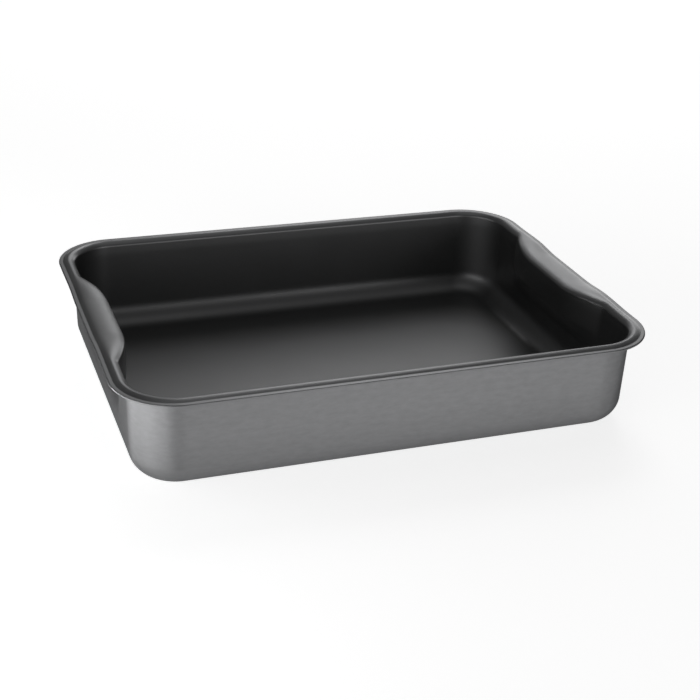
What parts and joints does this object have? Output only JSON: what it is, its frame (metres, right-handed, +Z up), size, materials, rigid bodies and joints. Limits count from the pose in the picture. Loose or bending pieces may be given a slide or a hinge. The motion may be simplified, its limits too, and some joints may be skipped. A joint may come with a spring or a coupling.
{
  "type": "roasting pan",
  "caption": "Deep rectangular pressed-metal roasting pan with rounded corners, a stepped rim, grips pressed into both short sides and a dark non-stick inside.",
  "frame": {"origin": "centre of the flat underside of the floor", "axes": "+X along the length, towards one grip; +Y across the width; +Z up, out of the open top"},
  "size_m": [0.406, 0.305, 0.0761],
  "materials": {
    "pan_metal": "satin dark grey anodised",
    "lining": "satin dark grey non-stick coating"
  },
  "bodies": {
    "root": {"pan_body": "pan_metal", "nonstick_lining": "lining"}
  },
  "joints": []
}
